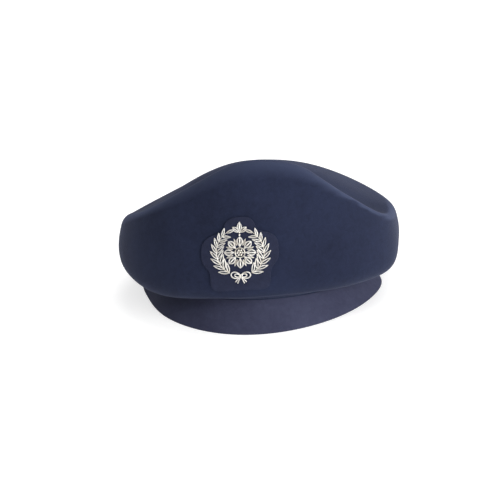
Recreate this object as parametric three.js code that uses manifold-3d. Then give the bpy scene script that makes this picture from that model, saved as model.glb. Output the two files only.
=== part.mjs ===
// A flight attendant's cap of blocked felt: a tall-fronted soft crown that overhangs a narrow headband,
// a short stiffened peak, and an embroidered silver badge on a felt patch at the front of the crown.
// Millimetres, +Z up, the front towards -Y, the wearer's left towards +X. The cap is modelled in its own
// frame, whose zero height is the headband's lower edge, and is then leaned back until it stands on the
// edge of its peak and on the back of its headband.
import * as THREE from "three";
import { mergeVertices } from "three/addons/utils/BufferGeometryUtils.js";
import Module from "manifold-3d";

const wasm = await Module();
wasm.setup();

// ---------------------------------------------------------------- driving dimensions

const HEAD = { halfWidth: 82, halfLength: 100 }; // the headband's outer oval, for a head of about 56 cm
const REST_LEAN = 4.7; // degrees that the cap leans back as it stands
const GAP = 0.3; // clearance between pieces that touch
const FELT = 2.2; // crown wall
const CROWN_TOP = {
  height: 86.5, // at the middle
  fall: 0.09, // its slope there, down towards the back
  radius: 188, // of its dome
};
const UNDERSIDE = {
  reach: 0.6, // share of the overhang that it runs out nearly level
  sag: 0.5, // how far it climbs in that
  turn: 0.2, // share of the way up to the widest point where it has turned upright
};
const BAND = {
  wall: 2,
  height: 20,
  show: 5, // from its lower edge up to the crown's
  settle: 0.6, // how far its lower edge spreads flat at the back, where it rests
};
const PEAK = {
  wall: 2.6,
  reach: 94, // degrees round from the front to each end
  out: [16.6, 9.4, 11.4, 14.6, 12, 11.6, 13.5], // how far it stands out, evenly from the wearer's right
  root: 1.2, // height of its upper face where it leaves the band
  bow: 1.4, // how far its upper face swells above a straight line
  bluntness: 16, // how suddenly its ends turn in to the band
  nub: 2, // the least that its ends stand out and hang down
  hollow: 0.3, // the least share of its slope that its inner face starts down at
  most: 0.7, // the most of its drop that its wall takes up
};
const BADGE = {
  bend: 112, // radius of the crown's front where the badge lies
  middle: 45, // of its middle, up along the felt from the crown's lower edge
  wall: 1.6, // of the patch
  relief: 1.8, // of the embroidery above the patch
  clear: 0.4, // between the crown, the patch and the embroidery
};
const PATCH = {
  // three square-cornered blocks, each about a point so far up from the badge's middle
  foot: { up: -11, halfWidth: 20.9, halfHeight: 15.8 },
  shoulders: { up: 2.5, halfWidth: 27, halfHeight: 13.2 },
  lobe: { up: 10.2, halfWidth: 11.7, halfHeight: 15.4 },
  corner: 3.4, // 2 would make them ovals, and more makes them squarer
  blend: 2.2, // how sharply they meet
  most: 40, // more than its edge is anywhere from the middle
};
const ROSETTE = { up: 0, radius: 11, petals: 8, notch: 0.16 };
const BUD = { up: 17.8, radius: 4.4, petals: 3, notch: 0.3 };
const BOW = {
  up: -17.2,
  knot: 1.6, // how far its edge is from its middle: at the knot,
  loops: 5.6, // how much further at the ends of its loops,
  pinch: 3, // how suddenly they narrow to the knot,
  tails: { length: 4, turn: 34, width: 13 }, // and at its tails: in degrees out from straight down
};
const BRANCH = {
  radius: 16.8,
  from: -62, // degrees up from the side
  to: 64,
  halfWidth: 4.8,
  leaves: 8,
  nick: 0.3, // share of the width lost between leaves
  ends: { least: 0.3, foot: 0.15, length: 0.8 }, // how it slims towards its ends, the foot less
};

const deg = THREE.MathUtils.degToRad;

// The crown's section at angles round from the front, positive towards the wearer's left:
//   overhang   from the band to the widest point
//   wideAt     height of the widest point
//   lean       from the widest point in to the ridge
//   ridge      height of the ridge, where the wall meets the top
//   rise       slope of the top just inside the ridge, going in, negative where it dips into a dent
//   round      how far the ridge is rounded over, down the wall and in along the top
const SECTION_NAMES = ["angle", "overhang", "wideAt", "lean", "ridge", "rise", "round"];
const SECTIONS = [
  [-145, 19, 30, 8, 54, 0.48, 17.5],
  [-110, 22.5, 30.5, 5.5, 49, 0.15, 14],
  [-85, 27.3, 28, 4, 49.5, -0.08, 12.5],
  [-65, 29.8, 25, 4.6, 57, -0.23, 11.5],
  [-45, 28.4, 22.5, 8, 67.8, -0.36, 8.5],
  [-25, 22.5, 22.5, 11, 88.6, -0.4, 17],
  [0, 14.5, 25, 11, 112.8, -0.47, 24],
  [25, 17, 24.5, 10.5, 106.6, -0.37, 20],
  [45, 25, 22.5, 8, 78, -0.33, 8],
  [65, 30.5, 21, 3.5, 55.6, -0.25, 6],
  [85, 25.5, 27.5, 2.5, 53.5, -0.07, 9.5],
  [110, 24, 31, 4.5, 51.5, 0.18, 13.5],
  [145, 19.5, 30.5, 7.5, 54, 0.58, 17.5],
  [180, 18, 30, 8.5, 54, 0.58, 18.5],
].map((row) => Object.fromEntries(row.map((value, i) => [SECTION_NAMES[i], value])));

// ---------------------------------------------------------------- helpers

// A section at any angle: the table's columns run smoothly through its rows and on round the back.
function sectionAt(angle) {
  const row = (k) => {
    const turns = Math.floor(k / SECTIONS.length);
    const section = SECTIONS[k - turns * SECTIONS.length];
    return { ...section, angle: section.angle + 360 * turns };
  };
  const a = angle - 360 * Math.floor((angle - SECTIONS[0].angle) / 360);
  let i = 0;
  while (row(i + 1).angle < a) i++;
  const [before, from, to, after] = [row(i - 1), row(i), row(i + 1), row(i + 2)];
  const span = to.angle - from.angle;
  const t = (a - from.angle) / span;
  const blend = {};
  for (const name of SECTION_NAMES) {
    const leave = ((to[name] - before[name]) / (to.angle - before.angle)) * span;
    const arrive = ((after[name] - from[name]) / (after.angle - from.angle)) * span;
    blend[name] = hermite(from[name], leave, to[name], arrive, t);
  }
  return blend;
}

function hermite(start, startSlope, end, endSlope, t) {
  const t2 = t * t;
  const t3 = t2 * t;
  return (
    (2 * t3 - 3 * t2 + 1) * start +
    (t3 - 2 * t2 + t) * startSlope +
    (3 * t2 - 2 * t3) * end +
    (t3 - t2) * endSlope
  );
}

// Radius of the headband's outer oval at an angle round from the front.
function headRadius(angle) {
  const { halfWidth, halfLength } = HEAD;
  const across = halfLength * Math.sin(deg(angle));
  const along = halfWidth * Math.cos(deg(angle));
  return (halfWidth * halfLength) / Math.hypot(across, along);
}

function place(angle, r, z) {
  return new THREE.Vector3(r * Math.sin(deg(angle)), -r * Math.cos(deg(angle)), z);
}

// How finely each stretch of the crown's outline is drawn, and how many of them go round it.
const STEPS = { under: 6, wall: 4, round: 5, top: 9 };
const SECTORS = 72;

// The crown's outer outline at an angle, from its turned-in lower edge up to the middle of the top.
function crownOutline(angle) {
  const s = sectionAt(angle);
  const edge = headRadius(angle) + GAP;
  const wide = edge + s.overhang;
  const low = BAND.show;
  const points = [];
  // the underside swings out from the band and up to the widest point
  const under = new THREE.CubicBezierCurve(
    new THREE.Vector2(edge, low),
    new THREE.Vector2(edge + UNDERSIDE.reach * s.overhang, low + UNDERSIDE.sag),
    new THREE.Vector2(wide, low + UNDERSIDE.turn * (s.wideAt - low)),
    new THREE.Vector2(wide, s.wideAt),
  );
  points.push(...under.getPoints(STEPS.under));
  // the wall leans in to the ridge, which is rounded over on to the top
  const ridge = new THREE.Vector2(wide - s.lean, s.ridge);
  const wallEnd = new THREE.Vector2().subVectors(points.at(-1), ridge).setLength(s.round).add(ridge);
  const wallBow = new THREE.QuadraticBezierCurve(
    points.at(-1),
    new THREE.Vector2(wide, (s.wideAt + wallEnd.y) / 2),
    wallEnd,
  );
  points.push(...wallBow.getPoints(STEPS.wall).slice(1));
  // the top leaves the middle as a tilted dome and meets the ridge at its height and slope
  const tilt = CROWN_TOP.fall * Math.cos(deg(angle)) * ridge.x;
  const dome = -(ridge.x ** 2) / (2 * CROWN_TOP.radius);
  const swell = ridge.y - CROWN_TOP.height - tilt - dome;
  const quartic = -s.rise * ridge.x - tilt - 2 * dome - 3 * swell;
  const cubic = swell - quartic;
  const top = (r) => {
    const t = r / ridge.x;
    return CROWN_TOP.height + tilt * t + dome * t ** 2 + cubic * t ** 3 + quartic * t ** 4;
  };
  const topEdge = ridge.x - s.round;
  const topStart = new THREE.Vector2(topEdge, top(topEdge));
  const rounding = new THREE.QuadraticBezierCurve(wallEnd, ridge, topStart);
  points.push(...rounding.getPoints(STEPS.round).slice(1));
  for (let i = 1; i <= STEPS.top; i++) {
    const r = topEdge * (1 - i / STEPS.top);
    points.push(new THREE.Vector2(r, top(r)));
  }
  return points;
}

// The same outline moved inwards by the wall.
function inset(points, wall) {
  return points.map((p, i) => {
    if (i === 0) return new THREE.Vector2(p.x, p.y + wall);
    if (i === points.length - 1) return new THREE.Vector2(0, p.y - wall);
    const along = new THREE.Vector2().subVectors(points[i + 1], points[i - 1]).normalize();
    return new THREE.Vector2(p.x - along.y * wall, p.y + along.x * wall);
  });
}

// Columns of points, one for each angle, turned into the rings that run across them.
const acrossColumns = (columns) => columns[0].map((_, k) => columns.map((column) => column[k]));

// A closed mesh from rings of points: each ring joins the next, the last ring joins the first, and a ring
// that closes on itself goes right round.
function skin(rings, closedRound) {
  const count = rings[0].length;
  const positions = rings.flat().flatMap((p) => [p.x, p.y, p.z]);
  const faces = [];
  const last = closedRound ? count : count - 1;
  for (let k = 0; k < rings.length; k++) {
    const next = (k + 1) % rings.length;
    for (let i = 0; i < last; i++) {
      const j = (i + 1) % count;
      const [a, b, c, d] = [k * count + i, k * count + j, next * count + j, next * count + i];
      faces.push(a, b, c, a, c, d);
    }
  }
  if (!closedRound) {
    for (const [column, flip] of [
      [0, false],
      [count - 1, true],
    ]) {
      for (let k = 1; k < rings.length - 1; k++) {
        const tri = [column, k * count + column, (k + 1) * count + column];
        faces.push(...(flip ? tri.reverse() : tri));
      }
    }
  }
  return closedGeometry(positions, faces);
}

const WELD = 0.001; // points nearer than this are one

// Merges doubled vertices, drops the triangles that collapse there, and turns the faces outwards.
function closedGeometry(positions, faces) {
  const loose = new THREE.BufferGeometry();
  loose.setAttribute("position", new THREE.Float32BufferAttribute(positions, 3));
  loose.setIndex(faces);
  const merged = mergeVertices(loose, WELD);
  const index = merged.index.array;
  const kept = [];
  for (let i = 0; i < index.length; i += 3) {
    const [a, b, c] = [index[i], index[i + 1], index[i + 2]];
    if (a !== b && b !== c && c !== a) kept.push(a, b, c);
  }
  const solid = new wasm.Manifold(
    new wasm.Mesh({
      numProp: 3,
      vertProperties: merged.attributes.position.array,
      triVerts: new Uint32Array(kept),
    }),
  );
  if (solid.volume() > 0) return geometryOf(solid);
  for (let i = 0; i < kept.length; i += 3) [kept[i + 1], kept[i + 2]] = [kept[i + 2], kept[i + 1]];
  merged.setIndex(kept);
  return merged;
}

function geometryOf(solid) {
  const mesh = solid.getMesh();
  const geometry = new THREE.BufferGeometry();
  geometry.setAttribute("position", new THREE.Float32BufferAttribute(mesh.vertProperties, 3));
  geometry.setIndex(new THREE.BufferAttribute(mesh.triVerts, 1));
  return geometry;
}

// ---------------------------------------------------------------- pieces

function crown() {
  const columns = [];
  for (let i = 0; i < SECTORS; i++) {
    const angle = (360 * i) / SECTORS;
    const outer = crownOutline(angle);
    const inner = inset(outer, FELT);
    columns.push([...outer, ...inner.reverse()].map((p) => place(angle, p.x, p.y)));
  }
  return skin(acrossColumns(columns), true);
}

// How far the surface that the cap rests on lies below the band's plane, at a distance behind the middle.
const floorBelow = (back) => Math.tan(deg(REST_LEAN)) * (HEAD.halfLength - back);

function headband() {
  const columns = [];
  for (let i = 0; i < SECTORS; i++) {
    const angle = (360 * i) / SECTORS;
    const r = headRadius(angle);
    const column = [
      place(angle, r, 0),
      place(angle, r, BAND.height),
      place(angle, r - BAND.wall, BAND.height),
      place(angle, r - BAND.wall, 0),
    ];
    for (const p of [column[0], column[3]]) p.z = -Math.min(floorBelow(p.y), BAND.settle);
    columns.push(column);
  }
  return skin(acrossColumns(columns), true);
}

const PEAK_COLUMNS = 56;
const PEAK_STEPS = 5;

function peak() {
  const outline = new THREE.SplineCurve(PEAK.out.map((out, i) => new THREE.Vector2(i, out)));
  const columns = [];
  for (let i = 0; i <= PEAK_COLUMNS; i++) {
    const share = (2 * i) / PEAK_COLUMNS - 1;
    const angle = share * PEAK.reach;
    const fullness = Math.sqrt(1 - Math.abs(share) ** PEAK.bluntness);
    const root = headRadius(angle) + GAP;
    const out = outline.getPoint((share + 1) / 2).y;
    const outer = root + Math.max(out * fullness, PEAK.nub);
    // the rim's foot lies flat on what the cap stands on, but for its ends, which rise to the band
    const dropAt = (r) => {
      const floor = floorBelow(place(angle, r, 0).y);
      return Math.max((floor + PEAK.root) * fullness, PEAK.nub);
    };
    const drop = dropAt(outer);
    const slope = Math.atan2(drop, outer - root);
    // the inner face keeps the wall's thickness where there is room for it
    const thin = root + PEAK.hollow * (outer - root);
    const inner = Math.max(outer - PEAK.wall / Math.sin(slope), thin);
    const under = Math.min(PEAK.wall / Math.cos(slope), PEAK.most * drop);
    const upper = [];
    const lower = [];
    for (let k = 0; k <= PEAK_STEPS; k++) {
      const t = k / PEAK_STEPS;
      const bow = PEAK.bow * Math.sin(Math.PI * t) * fullness;
      upper.push(place(angle, root + (outer - root) * t, PEAK.root + bow - drop * t));
      const lowerZ = PEAK.root + bow - under - (dropAt(inner) - under) * t;
      lower.push(place(angle, root + (inner - root) * t, lowerZ));
    }
    columns.push([...upper, ...lower.reverse()]);
  }
  return skin(acrossColumns(columns), false);
}

// A point on the crown's front: p millimetres round from the middle, q up along the felt from its lower
// edge, and lifted off it.
function onFront(p, q, lift) {
  const surface = (round, up) => {
    const angle = THREE.MathUtils.radToDeg(round / BADGE.bend);
    const outline = crownOutline(angle);
    let left = up;
    let i = 1;
    while (i < outline.length - 1 && left > outline[i].distanceTo(outline[i - 1])) {
      left -= outline[i].distanceTo(outline[i - 1]);
      i++;
    }
    const along = left / outline[i].distanceTo(outline[i - 1]);
    const at = outline[i - 1].clone().lerp(outline[i], along);
    return place(angle, at.x, at.y);
  };
  const here = surface(p, q);
  const rightwards = surface(p + 1, q).sub(here);
  const upwards = surface(p, q + 1).sub(here);
  return here.addScaledVector(rightwards.cross(upwards).normalize(), lift);
}

const slab = (low, wall) => ({ low, high: low + wall });
const BADGE_BASE = slab(BADGE.clear, BADGE.wall);
const EMBROIDERY = slab(BADGE_BASE.high + BADGE.clear, BADGE.relief);

// A flat piece laid on the crown's front about a point of the badge. Its outline gives a point for each
// turn, counted from the wearer's left; detail is how finely it is drawn, round it and out to its edge.
function laidRound(up, outline, { around, steps }, { low, high }) {
  const ring = (share, lift) =>
    Array.from({ length: around }, (_, i) => {
      const { x, y } = outline((2 * Math.PI * (i + 0.5)) / around);
      return onFront(share * x, BADGE.middle + up + share * y, lift);
    });
  const shares = Array.from({ length: steps + 1 }, (_, k) => k / steps);
  const below = shares.map((share) => ring(share, low));
  const above = shares.map((share) => ring(share, high)).reverse();
  return skin([...below, ...above], true);
}

// The felt patch: its edge runs round its three blocks, softly blended into one another.
function badgePatch() {
  const { foot, shoulders, lobe, corner, blend, most } = PATCH;
  const nearness = (x, y) => {
    const each = [foot, shoulders, lobe].map(({ up, halfWidth, halfHeight }) => {
      const out = Math.abs(x / halfWidth) ** corner + Math.abs((y - up) / halfHeight) ** corner;
      return Math.exp(blend * (1 - out));
    });
    return each.reduce((sum, one) => sum + one);
  };
  const outline = (turn) => {
    const [across, upward] = [Math.cos(turn), Math.sin(turn)];
    let [inside, outside] = [0, most];
    while (outside - inside > WELD) {
      const r = (inside + outside) / 2;
      if (nearness(r * across, r * upward) > 1) inside = r;
      else outside = r;
    }
    return { x: inside * across, y: inside * upward };
  };
  return laidRound(0, outline, { around: 72, steps: 5 }, BADGE_BASE);
}

// A flower seen from above, with notched petals, the first of them pointing up.
function flower({ up, radius, petals, notch }, detail) {
  const outline = (turn) => {
    const between = (1 - Math.cos(petals * (turn - Math.PI / 2))) / 2;
    const r = radius * (1 - notch * between);
    return { x: r * Math.cos(turn), y: r * Math.sin(turn) };
  };
  return laidRound(up, outline, detail, EMBROIDERY);
}

// A bow: two loops that narrow to a knot between them, and two short tails that hang below it.
function bow() {
  const { knot, loops, pinch, tails } = BOW;
  const outline = (turn) => {
    const fromDown = Math.abs(THREE.MathUtils.radToDeg(turn) - 270);
    const tail = tails.length * Math.exp(-(((fromDown - tails.turn) / tails.width) ** 2));
    const r = knot + loops * Math.abs(Math.cos(turn)) ** pinch + tail;
    return { x: r * Math.cos(turn), y: r * Math.sin(turn) };
  };
  return laidRound(BOW.up, outline, { around: 40, steps: 1 }, EMBROIDERY);
}

const STEPS_PER_LEAF = 4;

// A laurel branch that curves up one side of the badge: side is 1 for the wearer's left, -1 for the right.
function branch(side) {
  const { least, foot, length } = BRANCH.ends;
  const columns = [];
  const steps = BRANCH.leaves * STEPS_PER_LEAF;
  for (let i = 0; i <= steps; i++) {
    const t = i / steps;
    const turn = deg(BRANCH.from + (BRANCH.to - BRANCH.from) * t);
    const leafy = 1 - BRANCH.nick * (1 - Math.sin(Math.PI * ((i / STEPS_PER_LEAF) % 1)));
    const taper = least + (1 - least) * Math.sin(Math.PI * (foot + length * t));
    const half = BRANCH.halfWidth * leafy * taper;
    const at = (offset, lift) => {
      const r = BRANCH.radius + offset;
      return onFront(side * r * Math.cos(turn), BADGE.middle + r * Math.sin(turn), lift);
    };
    const { low, high } = EMBROIDERY;
    const under = [-half, 0, half].map((offset) => at(offset, low));
    const over = [half, 0, -half].map((offset) => at(offset, high));
    columns.push([...under, ...over]);
  }
  return skin(acrossColumns(columns), false);
}

// ---------------------------------------------------------------- assembly

function material(name, color, roughness, metalness) {
  return new THREE.MeshStandardMaterial({ name, color, roughness, metalness });
}

const navyFelt = material("navy felt", 0x1b2036, 0.95, 0);
const peakFelt = material("peak felt", 0x22263a, 0.85, 0);
const badgeFelt = material("badge felt", 0x181c30, 0.95, 0);
const silver = material("silver bullion", 0xc9c6bd, 0.35, 0.8);

const cap = new THREE.Group();

function add(name, geometry, finish) {
  const mesh = new THREE.Mesh(geometry, finish);
  mesh.name = name;
  cap.add(mesh);
}

add("crown", crown(), navyFelt);
add("headband", headband(), navyFelt);
add("peak", peak(), peakFelt);
add("badge_patch", badgePatch(), badgeFelt);
add("badge_rosette", flower(ROSETTE, { around: 48, steps: 2 }), silver);
add("badge_branch_left", branch(1), silver);
add("badge_branch_right", branch(-1), silver);
add("badge_bud", flower(BUD, { around: 24, steps: 1 }), silver);
add("badge_bow", bow(), silver);

// lean the cap back on to its peak, and set its origin at the bottom of the middle of its box
cap.rotation.x = -deg(REST_LEAN);
const standing = new THREE.Group();
standing.add(cap);
const extent = new THREE.Box3().setFromObject(standing, true);
const middle = extent.getCenter(new THREE.Vector3());
standing.position.set(-middle.x, -middle.y, -extent.min.z);

export default standing;
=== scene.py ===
"""A flight attendant's cap: blocked navy felt, a stiffened peak and a silver bullion badge.

Metres, +Z up, the peak towards -Y and the wearer's left towards +X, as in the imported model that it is
laid over. The crown, headband, peak and badge patch are the model's own shapes, softened, moved by a few
millimetres along their lower edges and finished as felt. The badge is embroidered flat, strand by strand, and
is then laid on the crown's curved front.
"""

import math

import bmesh
import bpy
from mathutils import Matrix, Vector
from mathutils.bvhtree import BVHTree


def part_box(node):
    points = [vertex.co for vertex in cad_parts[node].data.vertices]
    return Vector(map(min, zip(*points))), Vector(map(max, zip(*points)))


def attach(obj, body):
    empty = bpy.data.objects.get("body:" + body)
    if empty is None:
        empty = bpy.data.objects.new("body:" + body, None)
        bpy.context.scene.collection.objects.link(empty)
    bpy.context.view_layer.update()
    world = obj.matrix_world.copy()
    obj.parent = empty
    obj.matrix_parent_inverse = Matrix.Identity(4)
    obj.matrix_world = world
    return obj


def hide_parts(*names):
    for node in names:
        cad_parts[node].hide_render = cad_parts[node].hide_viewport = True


MM = 0.001
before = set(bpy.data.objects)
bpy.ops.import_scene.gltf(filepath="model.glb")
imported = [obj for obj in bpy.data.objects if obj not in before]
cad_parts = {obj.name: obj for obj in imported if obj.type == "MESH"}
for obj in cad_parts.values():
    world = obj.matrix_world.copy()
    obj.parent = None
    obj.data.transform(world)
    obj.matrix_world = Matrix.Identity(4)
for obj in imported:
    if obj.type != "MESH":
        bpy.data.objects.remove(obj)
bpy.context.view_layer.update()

# ---------------------------------------------------------------- sizes

WELD = 0.01 * MM  # the model's loose triangles are joined where their corners are this close

# Roll is in degrees, and the lens and its sensor are in millimetres.
CAMERA = {
    "place": Vector((167.4, -1128, 422)) * MM,
    "aim": Vector((-8.1, -5.6, 34.0)) * MM,
    "roll": -3.1,
    "lens": 110.6,
    "sensor": 36,
}

# The patch is sunk into the crown's nap by SUNK, which leaves its face PATCH_TOP over the crown.
SUNK = 0.9 * MM
PATCH_TOP = 2.0 * MM - SUNK

# How far out from the crown the rays start that find its surface.
RAY_START = 0.05

# Wire for the embroidery: the radius of its coil, the length of a turn, the depth of its grooves as a share
# of the radius, and how far they slant, in degrees.
PURL = {"coil": 0.5 * MM, "pitch": 0.38 * MM, "groove": 0.26, "slant": 14}
BROAD_PURL = {"coil": 0.6 * MM, "pitch": 0.44 * MM, "groove": 0.26, "slant": 14}
FINE_PURL = {"coil": 0.36 * MM, "pitch": 0.3 * MM, "groove": 0.22, "slant": 14}
CORD = {"coil": 0.55 * MM, "pitch": 0.95 * MM, "groove": 0.3, "slant": 38}

# The badge's motifs, in millimetres and degrees, from the badge's middle.
ROSETTE = {"petals": 8, "from": 4.0, "to": 11.2, "width": 3.75, "bed": 0.55, "fullest": 0.6}
SEPAL = {"in": 1.4, "shorter": 2, "width": 0.9, "bed": 0.3, "pad": 0.1}
RING = {"radius": 3.45, "lift": 0.75}
ROSETTE_KNOTS = {"circle": 1.8, "count": 6, "lift": 0.7, "size": 0.86 * MM}
BRANCH = {"radius": 16.8, "from": -62, "to": 64, "leaves": 8, "lean": 12}
STEM = {"steps": 40, "lift": 0.5, "taper": 0.45}
LAUREL_LEAF = {"length": 8.0, "width": 1.75, "spread": 38, "least": 0.8, "growth": 0.2}
BUD = {"up": 14.2, "petal": 6.3, "middle_petal": 7.5, "width": 2.6, "spread": 52, "fullest": 0.55}
BUD_KNOTS = {"upper": 0.2, "lower": -1.6, "lift": 0.7, "size": 0.8 * MM}
BOW = {"up": -17.0, "loop": 6.9, "narrow": 1.75, "tilt": 9, "lift": 0.5}
INNER_LOOP = {"length": 0.62, "narrow": 1.3}  # times the outer loop's
TAIL = {"length": 5.8, "turn": 34, "flare": 9, "lift": 0.45, "thin": 0.7, "widening": 0.3}
WRAP = {"apart": 0.85, "lift": 1.15, "fall": 0.25}


# ---------------------------------------------------------------- node trees


class Nodes:
    """Adds nodes to a tree. A socket's value is a number, a vector, or the output that it is joined to."""

    def __init__(self, tree):
        self.tree = tree

    def add(self, kind, values=None, **settings):
        node = self.tree.nodes.new(kind)
        for name, setting in settings.items():
            setattr(node, name, setting)
        for key, value in (values or {}).items():
            if isinstance(value, bpy.types.NodeSocket):
                self.tree.links.new(value, node.inputs[key])
            else:
                node.inputs[key].default_value = value
        return node

    def math(self, operation, *values):
        kind = "ShaderNodeMath"
        return self.add(kind, dict(enumerate(values)), operation=operation).outputs[0]

    def vector(self, operation, *values, output=0):
        kind = "ShaderNodeVectorMath"
        return self.add(kind, dict(enumerate(values)), operation=operation).outputs[output]


def new_material(name):
    """A material with its shader, and a hand for adding nodes to it."""
    material = bpy.data.materials.new(name)
    material.use_nodes = True
    nodes = Nodes(material.node_tree)
    shader = material.node_tree.nodes["Principled BSDF"]
    return material, nodes, shader


def noise(nodes, where, size, detail, roughness=0.5, distortion=0.0):
    """A soft grey pattern with blotches of a size in millimetres."""
    values = {
        "Vector": where,
        "Scale": 1 / (size * MM),
        "Detail": detail,
        "Roughness": roughness,
        "Distortion": distortion,
    }
    return nodes.add("ShaderNodeTexNoise", values).outputs["Fac"]


def mix_colour(nodes, share, first, second):
    values = {"Factor": share, "A": first, "B": second}
    node = nodes.add("ShaderNodeMix", data_type="RGBA")
    for key, value in values.items():
        socket = next(s for s in node.inputs if s.name == key and s.enabled)
        if isinstance(value, bpy.types.NodeSocket):
            nodes.tree.links.new(value, socket)
        else:
            socket.default_value = value
    return next(s for s in node.outputs if s.enabled)


def ramp(nodes, value, low, high):
    """0 below low, 1 above high."""
    values = {"Value": value, "From Min": low, "From Max": high}
    return nodes.add("ShaderNodeMapRange", values, clamp=True).outputs["Result"]


# ---------------------------------------------------------------- materials


# The felt's patterns, sized in millimetres: single fibres, tufts of them, and clouds in the dye.
FIBRES = {"size": 1.1, "detail": 6, "roughness": 0.72, "distortion": 1.6}
TUFTS = {"size": 4, "detail": 4, "roughness": 0.6, "distortion": 0.6}
CLOUDS = {"size": 38, "detail": 2}

# How much each of them counts in the felt's tone, and the sums at which it is darkest and lightest.
TONE = {"fibres": 0.35, "tufts": 0.3, "clouds": 0.35, "darkest": 0.35, "lightest": 0.65}

# A few pale fibres lie on the felt: how far apart they are, in millimetres, how far from their middles they
# end and are at their palest, as shares of that, the fibre pattern's tones between which they show, and how
# much they show.
PALE_FIBRES = {"apart": 2.4, "end": 0.085, "palest": 0.05, "none": 0.5, "all": 0.62, "share": 0.5}
PALE_TINT = (1.9, 1.9, 1.9)
PALE_LIFT = 0.004

# The felt's nap: how much its tufts stand up against its fibres, how strongly both show, and its soft sheen.
NAP = {"tufts": 0.5, "strength": 0.8, "sheen": 0.1, "sheen_roughness": 0.42, "sheen_tint": (0.62, 0.68, 1, 1)}

# Painted highlight over the crown's ridges and painted shade in its hollows: how sharply the crown bends, in
# radians for each metre along it, where the highlight starts, where it is full, and where a hollow's shade is
# deepest; and how much paler and deeper the felt is painted there.
RIDGE_HIGHLIGHT_AND_HOLLOW_SHADE = {"from": 15, "to": 68, "hollow": -12, "paler": 0.92, "deeper": 0.4}
# The tints of the painted highlight on ridges and the painted shade in hollows.
RIDGE_HIGHLIGHT_TINT = (2.15, 2.0, 1.65)
HOLLOW_SHADE_TINT = (0.5, 0.5, 0.5)


def tinted(colour, tint, lift=0.0):
    """A colour with each channel multiplied by the tint's, and lifted."""
    return tuple(times * channel + lift for times, channel in zip(tint, colour)) + (1,)


def felt(name, dark, light, depth=0.12, roughness=0.92, gloss=0.18, ridge_light_and_hollow_shade=False):
    """Pressed wool felt: tangled fibres, a mottled dye and a short nap that catches the light at its edges.

    Depth is how deep the fibres lie, in millimetres. The last argument gives the felt a painted highlight
    where it goes over a ridge and painted shade in a hollow.
    """
    material, nodes, shader = new_material(name)
    where = nodes.add("ShaderNodeTexCoord").outputs["Object"]
    fibres = noise(nodes, where, **FIBRES)
    tufts = noise(nodes, where, **TUFTS)
    clouds = noise(nodes, where, **CLOUDS)
    tone = nodes.math("MULTIPLY", tufts, TONE["tufts"])
    tone = nodes.math("MULTIPLY_ADD", fibres, TONE["fibres"], tone)
    tone = nodes.math("MULTIPLY_ADD", clouds, TONE["clouds"], tone)
    colour = mix_colour(nodes, ramp(nodes, tone, TONE["darkest"], TONE["lightest"]), dark, light)
    scale = 1 / (PALE_FIBRES["apart"] * MM)
    cell = nodes.add("ShaderNodeTexVoronoi", {"Vector": where, "Scale": scale})
    speck = ramp(nodes, cell.outputs["Distance"], PALE_FIBRES["end"], PALE_FIBRES["palest"])
    shows = ramp(nodes, fibres, PALE_FIBRES["none"], PALE_FIBRES["all"])
    speck = nodes.math("MULTIPLY", nodes.math("MULTIPLY", speck, shows), PALE_FIBRES["share"])
    colour = mix_colour(nodes, speck, colour, tinted(light, PALE_TINT, PALE_LIFT))
    # Painted highlight over the crown's ridges and painted shade in its hollows, drawn from the stored bend.
    if ridge_light_and_hollow_shade:
        bend = nodes.add("ShaderNodeAttribute", attribute_name="bend").outputs["Fac"]
        ridge = nodes.math("MULTIPLY", ramp(nodes, bend, RIDGE_HIGHLIGHT_AND_HOLLOW_SHADE["from"], RIDGE_HIGHLIGHT_AND_HOLLOW_SHADE["to"]), RIDGE_HIGHLIGHT_AND_HOLLOW_SHADE["paler"])
        colour = mix_colour(nodes, ridge, colour, tinted(light, RIDGE_HIGHLIGHT_TINT))
        hollow = nodes.math("MULTIPLY", ramp(nodes, bend, 0, RIDGE_HIGHLIGHT_AND_HOLLOW_SHADE["hollow"]), RIDGE_HIGHLIGHT_AND_HOLLOW_SHADE["deeper"])
        colour = mix_colour(nodes, hollow, colour, tinted(dark, HOLLOW_SHADE_TINT))
    nodes.tree.links.new(colour, shader.inputs["Base Color"])
    height = nodes.math("MULTIPLY_ADD", tufts, NAP["tufts"], fibres)
    values = {"Height": height, "Distance": depth * MM, "Strength": NAP["strength"]}
    bump = nodes.add("ShaderNodeBump", values)
    nodes.tree.links.new(bump.outputs["Normal"], shader.inputs["Normal"])
    shader.inputs["Roughness"].default_value = roughness
    shader.inputs["Specular IOR Level"].default_value = gloss
    shader.inputs["Sheen Weight"].default_value = NAP["sheen"]
    shader.inputs["Sheen Roughness"].default_value = NAP["sheen_roughness"]
    shader.inputs["Sheen Tint"].default_value = NAP["sheen_tint"]
    return material


# The silver's tarnish and grain, sized in millimetres, the tones between which tarnish comes in, and how much
# the grain changes its roughness.
TARNISH = {"size": 3.2, "detail": 3, "roughness": 0.6}
TARNISH_TONES = {"bright": 0.42, "dull": 0.68}
GRAIN = {"size": 0.5, "detail": 2}
GRAIN_DEPTH = 0.14


def bullion(name, bright, dull, roughness):
    """Silver-plated wire, a little tarnished in patches."""
    material, nodes, shader = new_material(name)
    where = nodes.add("ShaderNodeTexCoord").outputs["Object"]
    tarnish = ramp(nodes, noise(nodes, where, **TARNISH), TARNISH_TONES["bright"], TARNISH_TONES["dull"])
    nodes.tree.links.new(mix_colour(nodes, tarnish, bright, dull), shader.inputs["Base Color"])
    grain = noise(nodes, where, **GRAIN)
    rough = nodes.math("MULTIPLY_ADD", grain, GRAIN_DEPTH, roughness - GRAIN_DEPTH / 2)
    nodes.tree.links.new(rough, shader.inputs["Roughness"])
    shader.inputs["Metallic"].default_value = 1.0
    return material


# The crown's felt carries a painted highlight over its ridges and painted shade in its hollows.
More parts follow.
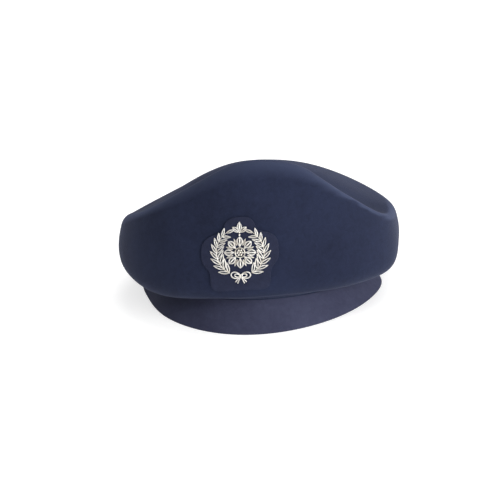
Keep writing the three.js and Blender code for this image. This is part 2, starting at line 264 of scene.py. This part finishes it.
CROWN_FELT = felt("crown felt", (0.0085, 0.0117, 0.0288, 1), (0.0165, 0.0229, 0.0540, 1), ridge_light_and_hollow_shade=True)
# The headband's felt is about twice as pale as the crown's: painted light, standing in for the light that
# reaches it under the crown's overhang.
BAND_FELT = felt("headband felt", (0.017, 0.0235, 0.050, 1), (0.034, 0.045, 0.090, 1))
PEAK_FELT = felt(
    "peak felt",
    (0.0315, 0.0340, 0.0680, 1),
    (0.0530, 0.0572, 0.1030, 1),
    depth=0.06,
    roughness=0.8,
    gloss=0.16,
)
PATCH_FELT = felt("badge patch felt", (0.0125, 0.0150, 0.0330, 1), (0.0225, 0.0275, 0.0575, 1))
SILVER_PURL = bullion("silver purl", (0.91, 0.89, 0.85, 1), (0.66, 0.63, 0.57, 1), 0.3)
SILVER_CORD = bullion("silver twist", (0.80, 0.77, 0.71, 1), (0.56, 0.52, 0.44, 1), 0.34)
SILVER_KNOT = bullion("silver knots", (0.90, 0.88, 0.84, 1), (0.70, 0.67, 0.60, 1), 0.26)


# ---------------------------------------------------------------- felt pieces


def link_piece(name, mesh, material):
    mesh.materials.clear()
    mesh.materials.append(material)
    piece = bpy.data.objects.new(name, mesh)
    bpy.context.scene.collection.objects.link(piece)
    return piece


def evaluated_mesh(piece):
    """The piece's mesh with its modifiers applied."""
    graph = bpy.context.evaluated_depsgraph_get()
    return bpy.data.meshes.new_from_object(piece.evaluated_get(graph))


# Turns in degrees: the most between two triangles that are joined into one face, and the least at an edge
# that is rounded off. Then the steps across a rounded edge, and how many times the shape is smoothed.
JOINED_TURN = 50
ROUNDED_TURN = 42
ROUNDING_STEPS = 2
SMOOTHING = 2


def soft_copy(node, name, material, edge):
    """A CAD node's shape with its facets smoothed over and its sharp edges rounded off, by a width."""
    mesh = bpy.data.meshes.new(name)
    form = bmesh.new()
    form.from_mesh(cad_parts[node].data)
    bmesh.ops.remove_doubles(form, verts=form.verts, dist=WELD)
    turn = math.radians(JOINED_TURN)
    bmesh.ops.join_triangles(form, faces=form.faces, angle_face_threshold=turn, angle_shape_threshold=turn)
    form.to_mesh(mesh)
    form.free()
    if "custom_normal" in mesh.attributes:
        mesh.attributes.remove(mesh.attributes["custom_normal"])
    piece = link_piece(name, mesh, material)
    bevel = piece.modifiers.new("rounded edges", "BEVEL")
    bevel.width = edge
    bevel.segments = ROUNDING_STEPS
    bevel.limit_method = "ANGLE"
    bevel.angle_limit = math.radians(ROUNDED_TURN)
    bevel.harden_normals = False
    smooth = piece.modifiers.new("smooth", "SUBSURF")
    smooth.levels = smooth.render_levels = SMOOTHING
    finished = evaluated_mesh(piece)
    piece.modifiers.clear()
    piece.data = finished
    finished.name = name
    for polygon in finished.polygons:
        polygon.use_smooth = True
    return piece


# Where the crown's lower edge hangs, over the wearer's right end of the peak, and where it is drawn up, at
# the front: how many degrees round from the front, how many either side of there, how far it moves up, the
# heights between which that comes in, and how far out from the band it is complete.
EDGE_MOVES = (
    {"turn": -36, "reach": 26, "move": -3.5 * MM, "none": 48 * MM, "full": 24 * MM, "out": 9 * MM},
    {"turn": 14, "reach": 34, "move": 2.0 * MM, "none": 48 * MM, "full": 27 * MM, "out": 5 * MM},
)

# How far the peak's inner edge is drawn up under the crown, the degrees round from the front between which
# that comes in and goes out again, and how far out from the band it ends.
DRAWN = {"move": 3.2 * MM, "in": (-35, -12), "out": (35, 60), "end": 12 * MM}


def smooth_step(value):
    """0 below 0 and 1 above 1, with a soft start and end between them."""
    value = min(1, max(0, value))
    return value * value * (3 - 2 * value)


def band_oval():
    """The middle of the band's oval, and half of its width and length."""
    low, high = (Vector(corner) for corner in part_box("headband"))
    return (low + high) / 2, (high - low) / 2


BAND_MIDDLE, BAND_HALF = band_oval()


def from_band(spot):
    """How many degrees round from the front a spot is, and how far outside the band's oval."""
    across, back = spot.x - BAND_MIDDLE.x, spot.y - BAND_MIDDLE.y
    distance = math.hypot(across, back)
    band = distance / math.hypot(across / BAND_HALF.x, back / BAND_HALF.y)
    return math.degrees(math.atan2(across, -back)), distance - band


def hang_edge(piece):
    """Lets the crown's lower edge hang down over the end of the peak, and draws it up at the front."""
    for vertex in piece.data.vertices:
        turn, out = from_band(vertex.co)
        height = vertex.co.z
        for edge in EDGE_MOVES:
            share = smooth_step(1 - abs(turn - edge["turn"]) / edge["reach"])
            share *= smooth_step((edge["none"] - height) / (edge["none"] - edge["full"]))
            share *= smooth_step(out / edge["out"])
            vertex.co.z += share * edge["move"]


def draw_up(piece):
    """Draws the peak's inner edge up against the crown, at the front."""
    (start, full), (fades, end) = DRAWN["in"], DRAWN["out"]
    for vertex in piece.data.vertices:
        turn, out = from_band(vertex.co)
        share = smooth_step((turn - start) / (full - start)) * smooth_step((end - turn) / (end - fades))
        share *= min(1, max(0, 1 - out / DRAWN["end"])) ** 2
        vertex.co.z += share * DRAWN["move"]


crown = soft_copy("crown", "felt_crown", CROWN_FELT, 0.7 * MM)
hang_edge(crown)
headband = soft_copy("headband", "felt_headband", BAND_FELT, 0.5 * MM)
peak = soft_copy("peak", "stiffened_peak", PEAK_FELT, 0.6 * MM)
draw_up(peak)
patch = soft_copy("badge_patch", "felt_badge_patch", PATCH_FELT, 0.35 * MM)


# ---------------------------------------------------------------- the crown's front, for the badge


# How far up the crown the badge is set from its place in the solids.
RISE = 1.5 * MM


def badge_plane():
    """The badge's middle on the crown, and the directions across it, up it and out of it."""
    low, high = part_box("badge_rosette")
    middle = (Vector(low) + Vector(high)) / 2
    tree = BVHTree.FromObject(crown, bpy.context.evaluated_depsgraph_get())
    start = Vector((middle.x, low[1] - RAY_START, middle.z + RISE))
    place, out, _, _ = tree.ray_cast(start, Vector((0, 1, 0)))
    out = Vector((0, out.y, out.z)).normalized()
    across = Vector((1, 0, 0))
    return place, across, out.cross(across), out


BADGE_MIDDLE, ACROSS, UPWARD, OUTWARD = badge_plane()

# How far the middle of the patch's foot is below the badge's, and how square its corners are in the solid and
# here, as powers: 2 would make the foot an oval.
FOOT = {"down": 11 * MM, "solid": 3.4, "seen": 7.0}


def squareness(turn, power):
    """How far a rounded square's edge is from its middle in a direction, if its sides are 1 away."""
    return (math.cos(turn) ** power + math.sin(turn) ** power) ** (-1 / power)


def square_off(piece):
    """Slides the patch up the crown's surface, and its lower corners out, which squares off its foot."""
    surface = BVHTree.FromObject(crown, bpy.context.evaluated_depsgraph_get())

    def slide(vertex, move):
        out = surface.find_nearest(vertex.co)[1]
        vertex.co += move - move.dot(out) * out

    for vertex in piece.data.vertices:
        slide(vertex, RISE * UPWARD)
    spots = [vertex.co - BADGE_MIDDLE for vertex in piece.data.vertices]
    half_height = -FOOT["down"] - min(spot.dot(UPWARD) for spot in spots)
    widest = -FOOT["down"] - half_height / 3
    half_width = max(spot.dot(ACROSS) for spot in spots if spot.dot(UPWARD) < widest)
    for vertex, spot in zip(piece.data.vertices, spots):
        side, down = spot.dot(ACROSS), -FOOT["down"] - spot.dot(UPWARD)
        if down <= 0:
            continue
        turn = math.atan2(down / half_height, abs(side) / half_width)
        grow = squareness(turn, FOOT["seen"]) / squareness(turn, FOOT["solid"]) - 1
        slide(vertex, grow * (side * ACROSS - down * UPWARD))


square_off(patch)
for vertex in patch.data.vertices:
    vertex.co -= SUNK * OUTWARD
for piece, node in ((crown, "crown"), (headband, "headband"), (peak, "peak"), (patch, "badge_patch")):
    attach(piece, "root")
    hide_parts(node)


def keep_normals(piece):
    """Stores each corner's smooth normal, so that what is laid on the piece can stand along it."""
    layer = piece.data.attributes.new("outward", "FLOAT_VECTOR", "POINT")
    for i, vertex in enumerate(piece.data.vertices):
        layer.data[i].vector = vertex.normal


# The painted highlight and shade fade where the surface faces down: how much of the bend counts where it is
# upright, how fast that grows as it turns up, and how many times the bend is spread to the corners around.
BEND = {"upright": 0.64, "growth": 1.2, "rounds": 2}


def keep_bend(piece):
    """Stores how sharply each corner bends, out over a ridge and in at a hollow, for painted highlight and
    shade.
    """
    mesh = piece.data
    spots = [vertex.co.copy() for vertex in mesh.vertices]
    normals = [vertex.normal.copy() for vertex in mesh.vertices]
    edges = [tuple(edge.vertices) for edge in mesh.edges]
    bend = [0.0] * len(spots)
    meets = [0] * len(spots)
    for a, b in edges:
        along = spots[b] - spots[a]
        turn = (normals[b] - normals[a]).dot(along) / along.length_squared
        for end in (a, b):
            bend[end] += turn
            meets[end] += 1
    faces_up = [min(1, max(0, BEND["upright"] + BEND["growth"] * normal.z)) for normal in normals]
    bend = [up * total / count for up, total, count in zip(faces_up, bend, meets)]
    for _ in range(BEND["rounds"]):
        spread = list(bend)
        for a, b in edges:
            spread[a] += bend[b]
            spread[b] += bend[a]
        bend = [total / (count + 1) for total, count in zip(spread, meets)]
    layer = mesh.attributes.new("bend", "FLOAT", "POINT")
    layer.data.foreach_set("value", bend)


keep_normals(crown)
keep_bend(crown)


# ---------------------------------------------------------------- bullion


def interface(tree, sockets):
    """The tree's inputs, by name and kind, and its one geometry output."""
    for name, kind in sockets:
        tree.interface.new_socket(name=name, in_out="INPUT", socket_type=f"NodeSocket{kind}")
    tree.interface.new_socket(name="Geometry", in_out="OUTPUT", socket_type="NodeSocketGeometry")


def laid_on(nodes, geometry, given):
    """Geometry made flat on the badge's plane, laid on the crown and kept as high over it as it was."""
    crown_form = nodes.add("GeometryNodeObjectInfo", {"Object": given["Crown"]}).outputs["Geometry"]
    position = nodes.add("GeometryNodeInputPosition").outputs[0]
    outward = given["Outward"]
    from_middle = nodes.vector("SUBTRACT", position, given["Middle"])
    lift = nodes.vector("DOT_PRODUCT", from_middle, outward, output="Value")
    start = nodes.vector("MULTIPLY_ADD", outward, (RAY_START,) * 3, position)
    normal = nodes.add("GeometryNodeInputNamedAttribute", {"Name": "outward"}, data_type="FLOAT_VECTOR")
    ray = nodes.add("GeometryNodeRaycast", data_type="FLOAT_VECTOR", mapping="INTERPOLATED")
    joins = (
        ("Target Geometry", crown_form),
        ("Attribute", normal.outputs[0]),
        ("Source Position", start),
        ("Ray Direction", nodes.vector("MULTIPLY", outward, (-1, -1, -1))),
    )
    for key, value in joins:
        nodes.tree.links.new(value, ray.inputs[key])
    up = nodes.vector("NORMALIZE", ray.outputs["Attribute"])
    rise = nodes.add("ShaderNodeVectorMath", {0: up}, operation="SCALE")
    nodes.tree.links.new(lift, rise.inputs["Scale"])
    place = nodes.vector("ADD", ray.outputs["Hit Position"], rise.outputs[0])
    return nodes.add("GeometryNodeSetPosition", {"Geometry": geometry, "Position": place}).outputs[0]


def finish_tree(nodes, geometry, given):
    """Shades the geometry smooth, gives it its material and hands it on."""
    smooth = nodes.add("GeometryNodeSetShadeSmooth", {"Geometry": geometry}).outputs[0]
    real = nodes.add("GeometryNodeRealizeInstances", {"Geometry": smooth}).outputs[0]
    painted = nodes.add("GeometryNodeSetMaterial", {"Geometry": real, "Material": given["Finish"]})
    nodes.add("NodeGroupOutput", {"Geometry": painted.outputs[0]})


# The purl's tube: rings for each turn of the coil, and sides round it; and a knot's sides and rings.
RINGS_PER_TURN = 3
PURL_SIDES = 8
KNOT_SIDES = 12
KNOT_RINGS = 7


def purl_tree():
    """Closely coiled wire along each curve: a tube whose rings slant and have a groove at every turn."""
    tree = bpy.data.node_groups.new("purl", "GeometryNodeTree")
    interface(
        tree,
        (
            ("Geometry", "Geometry"),
            ("Crown", "Object"),
            ("Middle", "Vector"),
            ("Outward", "Vector"),
            ("Coil", "Float"),
            ("Pitch", "Float"),
            ("Groove", "Float"),
            ("Slant", "Float"),
            ("Finish", "Material"),
        ),
    )
    nodes = Nodes(tree)
    given = nodes.add("NodeGroupInput").outputs
    step = nodes.math("DIVIDE", given["Pitch"], RINGS_PER_TURN)
    resample = nodes.add("GeometryNodeResampleCurve", {"Curve": given["Geometry"]}, mode="LENGTH")
    length = next(s for s in resample.inputs if s.name == "Length")
    tree.links.new(step, length)
    upright = nodes.add("GeometryNodeSetCurveNormal", {"Curve": resample.outputs[0]}, mode="Z_UP")
    index = nodes.add("GeometryNodeSplineParameter").outputs["Index"]
    in_groove = nodes.math("LESS_THAN", nodes.math("MODULO", index, RINGS_PER_TURN), 0.5)
    swell = nodes.math("SUBTRACT", 1, nodes.math("MULTIPLY", in_groove, given["Groove"]))
    radius = nodes.add("GeometryNodeInputRadius").outputs[0]
    values = {"Resolution": PURL_SIDES, "Radius": given["Coil"]}
    section = nodes.add("GeometryNodeCurvePrimitiveCircle", values).outputs[0]
    turn = nodes.add("ShaderNodeCombineXYZ", {"X": given["Slant"]}).outputs[0]
    slanted = nodes.add("GeometryNodeTransform", {"Geometry": section, "Rotation": turn})
    values = {
        "Curve": upright.outputs[0],
        "Profile Curve": slanted.outputs[0],
        "Scale": nodes.math("MULTIPLY", radius, swell),
        "Fill Caps": True,
    }
    tube = nodes.add("GeometryNodeCurveToMesh", values).outputs[0]
    finish_tree(nodes, laid_on(nodes, tube, given), given)
    return tree


def knot_tree():
    """A small round knot on every point."""
    tree = bpy.data.node_groups.new("knots", "GeometryNodeTree")
    interface(
        tree,
        (
            ("Geometry", "Geometry"),
            ("Crown", "Object"),
            ("Middle", "Vector"),
            ("Outward", "Vector"),
            ("Knot", "Float"),
            ("Finish", "Material"),
        ),
    )
    nodes = Nodes(tree)
    given = nodes.add("NodeGroupInput").outputs
    sizes = {"Segments": KNOT_SIDES, "Rings": KNOT_RINGS, "Radius": given["Knot"]}
    ball = nodes.add("GeometryNodeMeshUVSphere", sizes)
    values = {"Points": given["Geometry"], "Instance": ball.outputs["Mesh"]}
    knots = nodes.add("GeometryNodeInstanceOnPoints", values).outputs[0]
    real = nodes.add("GeometryNodeRealizeInstances", {"Geometry": knots}).outputs[0]
    finish_tree(nodes, laid_on(nodes, real, given), given)
    return tree


PURL_TREE = purl_tree()
KNOT_TREE = knot_tree()


def set_inputs(modifier, values):
    """Sets a tree's inputs, found by name, through their sockets' identifiers."""
    for item in modifier.node_group.interface.items_tree:
        if item.item_type == "SOCKET" and item.in_out == "INPUT" and item.name in values:
            modifier[item.identifier] = values[item.name]


def on_plane(spot, lift):
    """A spot of the flat badge, in millimetres as x + yj, lifted off the patch by millimetres."""
    flat = (ACROSS * spot.real + UPWARD * spot.imag + OUTWARD * lift) * MM
    return BADGE_MIDDLE + flat + PATCH_TOP * OUTWARD


def worked(name, source, tree, sizes):
    """The source's geometry put through a tree, as a plain mesh that rides on the cap."""
    modifier = source.modifiers.new("worked", "NODES")
    modifier.node_group = tree
    set_inputs(modifier, {"Crown": crown, "Middle": BADGE_MIDDLE, "Outward": OUTWARD, **sizes})
    mesh = evaluated_mesh(source)
    mesh.name = name
    bpy.data.objects.remove(source)
    piece = bpy.data.objects.new(name, mesh)
    bpy.context.scene.collection.objects.link(piece)
    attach(piece, "root")
    return piece


def purl_piece(name, strands, wire, finish):
    """Strands of purl, each a list of (spot, lift, thickness)."""
    curve = bpy.data.curves.new(name, "CURVE")
    curve.dimensions = "3D"
    for strand in strands:
        spline = curve.splines.new("POLY")
        spline.points.add(len(strand) - 1)
        for point, (spot, lift, thickness) in zip(spline.points, strand):
            point.co = (*on_plane(spot, lift), 1)
            point.radius = thickness
    source = bpy.data.objects.new(name, curve)
    bpy.context.scene.collection.objects.link(source)
    sizes = {
        "Coil": wire["coil"],
        "Pitch": wire["pitch"],
        "Groove": wire["groove"],
        "Slant": math.radians(wire["slant"]),
        "Finish": finish,
    }
    return worked(name, source, PURL_TREE, sizes)


def knot_piece(name, spots, knots, finish):
    """Round knots on the patch, of a size and a lift."""
    mesh = bpy.data.meshes.new(name)
    mesh.from_pydata([on_plane(spot, knots["lift"]) for spot in spots], [], [])
    source = bpy.data.objects.new(name, mesh)
    bpy.context.scene.collection.objects.link(source)
    return worked(name, source, KNOT_TREE, {"Knot": knots["size"], "Finish": finish})


# ---------------------------------------------------------------- the badge's motifs, in millimetres


def heading(degrees):
    """A step of 1 in a direction, anticlockwise from the wearer's left."""
    return complex(math.cos(math.radians(degrees)), math.sin(math.radians(degrees)))


# Along a leaf's strands: how many steps, how thin the purl gets at both ends and how much it swells between.
LEAF_STEPS = 12
LEAF_THIN = 0.55
LEAF_SWELL = 0.45


def leaf(base, towards, length, width, strands, bed=0.45, pad=0.55, fullest=0.45):
    """Strands side by side that part from the base and meet at the tip, raised along the middle."""
    out = heading(towards)
    power = math.log(0.5) / math.log(fullest)
    made = []
    for k in range(strands):
        side = 2 * k / (strands - 1) - 1
        line = []
        for i in range(LEAF_STEPS + 1):
            t = i / LEAF_STEPS
            spread = math.sin(math.pi * t**power)
            spot = base + out * (length * t + 1j * side * width / 2 * spread)
            lift = bed + pad * spread * (1 - side * side)
            line.append((spot, lift, LEAF_THIN + LEAF_SWELL * spread))
        made.append(line)
    return made


def ring(radius, lift, steps=48):
    """A strand round the badge's middle."""
    return [(radius * heading(360 * i / steps), lift, 1.0) for i in range(steps + 1)]


def rosette():
    """Eight petals with narrow sepals between them, round a ring that is filled with knots."""
    petals = []
    sepals = []
    start, length, width = ROSETTE["from"], ROSETTE["to"] - ROSETTE["from"], ROSETTE["width"]
    full = {"bed": ROSETTE["bed"], "fullest": ROSETTE["fullest"]}
    flat = {"bed": SEPAL["bed"], "pad": SEPAL["pad"]}
    for k in range(ROSETTE["petals"]):
        towards = 90 + 360 * k / ROSETTE["petals"]
        petals += leaf(start * heading(towards), towards, length, width, 3, **full)
        between = towards + 180 / ROSETTE["petals"]
        base = (start + SEPAL["in"]) * heading(between)
        sepals += leaf(base, between, length - SEPAL["shorter"], SEPAL["width"], 2, **flat)
    purl_piece("rosette_petals", petals, BROAD_PURL, SILVER_PURL)
    purl_piece("rosette_sepals", sepals, FINE_PURL, SILVER_CORD)
    made = purl_piece("rosette_ring", [ring(RING["radius"], RING["lift"])], CORD, SILVER_CORD)
    count = ROSETTE_KNOTS["count"]
    knots = [0j] + [ROSETTE_KNOTS["circle"] * heading(360 / count * k) for k in range(count)]
    knot_piece("rosette_knots", knots, ROSETTE_KNOTS, SILVER_KNOT)
    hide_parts("badge_rosette")


def branch(side, name, node):
    """A laurel branch up one side: side is 1 for the wearer's left and -1 for the right."""

    def on_side(strand):
        return [(spot if side > 0 else -spot.conjugate(), lift, thick) for spot, lift, thick in strand]

    def along(t):
        return BRANCH["from"] + (BRANCH["to"] - BRANCH["from"]) * t

    stem = []
    for i in range(STEM["steps"] + 1):
        t = i / STEM["steps"]
        stem.append((BRANCH["radius"] * heading(along(t)), STEM["lift"], 1.0 - STEM["taper"] * t))
    leaves = []
    for k in range(BRANCH["leaves"] + 1):
        t = (k + 0.1) / (BRANCH["leaves"] + 0.6)
        grown = LAUREL_LEAF["least"] + LAUREL_LEAF["growth"] * math.sin(math.pi * min(1, 0.3 + t))
        length, width = LAUREL_LEAF["length"] * grown, LAUREL_LEAF["width"] * grown
        base = BRANCH["radius"] * heading(along(t))
        towards = along(t) + 90 + BRANCH["lean"]
        pair = (-LAUREL_LEAF["spread"], LAUREL_LEAF["spread"])
        for spread in pair if k < BRANCH["leaves"] else (0,):
            leaves += [on_side(strand) for strand in leaf(base, towards + spread, length, width, 2)]
    made = purl_piece(f"{name}_leaves", leaves, PURL, SILVER_PURL)
    purl_piece(f"{name}_stem", [on_side(stem)], CORD, SILVER_CORD)
    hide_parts(node)


def bud():
    """A flower bud of three petals over two knots."""
    base = complex(0, BUD["up"])
    strands = []
    petals = ((-BUD["spread"], BUD["petal"]), (BUD["spread"], BUD["petal"]), (0, BUD["middle_petal"]))
    for spread, length in petals:
        strands += leaf(base, 90 + spread, length, BUD["width"], 3, fullest=BUD["fullest"])
    made = purl_piece("bud_petals", strands, PURL, SILVER_PURL)
    knots = [base + 1j * BUD_KNOTS["upper"], base + 1j * BUD_KNOTS["lower"]]
    knot_piece("bud_knots", knots, BUD_KNOTS, SILVER_KNOT)
    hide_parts("badge_bud")


def loop(middle, towards, length, narrow, lift, steps=24, start=0.8):
    """A closed loop of ribbon that leaves the bow near its middle and comes back to it."""
    strand = []
    for i in range(steps + 1):
        turn = (2 * i / steps - 1) * 90 / narrow
        reach = start + (length - start) * math.cos(math.radians(turn * narrow))
        strand.append((middle + reach * heading(towards + turn), lift, 1.0))
    return strand


def bow():
    """A ribbon bow: two nested loops a side, two tails a side and a wrapped knot."""
    middle = complex(0, BOW["up"])
    size, narrow, lift = BOW["loop"], BOW["narrow"], BOW["lift"]
    ribbon = []
    for towards, down in ((BOW["tilt"], TAIL["turn"] - 90), (180 - BOW["tilt"], -TAIL["turn"] - 90)):
        ribbon.append(loop(middle, towards, size, narrow, lift))
        inner = (INNER_LOOP["length"] * size, INNER_LOOP["narrow"] * narrow)
        ribbon.append(loop(middle, towards, *inner, lift))
        for flare in (-TAIL["flare"], TAIL["flare"]):
            tail = TAIL["length"] * heading(down + flare)
            strand = []
            for share in (0.1, 0.4, 0.7, 1):
                strand.append((middle + tail * share, TAIL["lift"], TAIL["thin"] + TAIL["widening"] * share))
            ribbon.append(strand)
    made = purl_piece("bow_ribbon", ribbon, PURL, SILVER_PURL)
    wrap = []
    for x in (-WRAP["apart"], 0, WRAP["apart"]):
        strand = []
        for y in (-1.4, -0.7, 0, 0.7, 1.4):
            strand.append((middle + complex(x, y), WRAP["lift"] - WRAP["fall"] * y * y, 1.0))
        wrap.append(strand)
    purl_piece("bow_knot", wrap, PURL, SILVER_KNOT)
    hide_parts("badge_bow")


rosette()
branch(1, "laurel_left", "badge_branch_left")
branch(-1, "laurel_right", "badge_branch_right")
bud()
bow()


# ---------------------------------------------------------------- floor, light and camera


# The floor's half width, and the round wall's radius and height, in metres, and the wall's sides.
STUDIO = {"floor": 6.0, "wall": 5.5, "wall_height": 3.0, "wall_sides": 64}
SHEET = {"grey": 0.5, "roughness": 0.9, "floor_glow": 0.7, "wall_glow": 1.0}
SKY_STRENGTH = 0.01


def stage_piece(name, corners, faces, glow):
    """A plain pale sheet that the cap stands on or in front of, with a soft glow of its own."""
    mesh = bpy.data.meshes.new(name)
    mesh.from_pydata(corners, [], faces)
    material, _, shader = new_material("pale " + name)
    shader.inputs["Base Color"].default_value = (SHEET["grey"],) * 3 + (1,)
    shader.inputs["Roughness"].default_value = SHEET["roughness"]
    shader.inputs["Emission Color"].default_value = (1, 1, 1, 1)
    shader.inputs["Emission Strength"].default_value = glow
    piece = link_piece(name, mesh, material)
    return piece


def pale_floor():
    """A wide floor, whose soft glow also lights the cap from below."""
    half = STUDIO["floor"]
    corners = [(-half, -half, 0), (half, -half, 0), (half, half, 0), (-half, half, 0)]
    stage_piece("floor", corners, [(0, 1, 2, 3)], SHEET["floor_glow"])


def pale_wall():
    """A round wall for low views, which neither lights the cap nor stands in the light's way."""
    sides = STUDIO["wall_sides"]
    foot = [STUDIO["wall"] * heading(360 * i / sides) for i in range(sides)]
    corners = [(spot.real, spot.imag, z) for z in (0, STUDIO["wall_height"]) for spot in foot]
    faces = [((i + 1) % sides, i, i + sides, (i + 1) % sides + sides) for i in range(sides)]
    wall = stage_piece("wall", corners, faces, SHEET["wall_glow"])
    wall.visible_diffuse = wall.visible_glossy = wall.visible_shadow = False


def soft_light(name, turn, height, spread, strength):
    """A far, wide light, turned round from the front towards the wearer's left, in degrees."""
    light = bpy.data.lights.new(name, "SUN")
    light.angle = math.radians(spread)
    light.energy = strength
    lamp = bpy.data.objects.new(name, light)
    across, up = math.radians(turn), math.radians(height)
    towards = Vector((math.sin(across) * math.cos(up), -math.cos(across) * math.cos(up), math.sin(up)))
    lamp.rotation_mode = "QUATERNION"
    lamp.rotation_quaternion = (-towards).to_track_quat("-Z", "Y")
    bpy.context.scene.collection.objects.link(lamp)


def studio():
    """A dim white sky and four wide lights."""
    world = bpy.data.worlds.new("studio")
    bpy.context.scene.world = world
    world.use_nodes = True
    sky = world.node_tree.nodes["Background"]
    sky.inputs["Color"].default_value = (1, 1, 1, 1)
    sky.inputs["Strength"].default_value = SKY_STRENGTH
    soft_light("window light", turn=57, height=12, spread=50, strength=3.4)
    soft_light("back light", turn=150, height=66, spread=45, strength=2.15)
    soft_light("edge light", turn=118, height=12, spread=40, strength=0.6)
    soft_light("front fill", turn=-40, height=64, spread=60, strength=1.0)


def camera():
    """The camera at its place in front of the cap, which the scene is seen through."""
    data = bpy.data.cameras.new("camera")
    data.lens = CAMERA["lens"]
    data.sensor_width = CAMERA["sensor"]
    seat = bpy.data.objects.new("camera", data)
    sight = (CAMERA["aim"] - CAMERA["place"]).to_track_quat("-Z", "Y").to_matrix().to_4x4()
    roll = Matrix.Rotation(math.radians(CAMERA["roll"]), 4, "Z")
    seat.matrix_world = Matrix.Translation(CAMERA["place"]) @ sight @ roll
    bpy.context.scene.collection.objects.link(seat)
    bpy.context.scene.camera = seat


pale_floor()
pale_wall()
studio()
camera()
bpy.context.scene.view_settings.view_transform = "Standard"
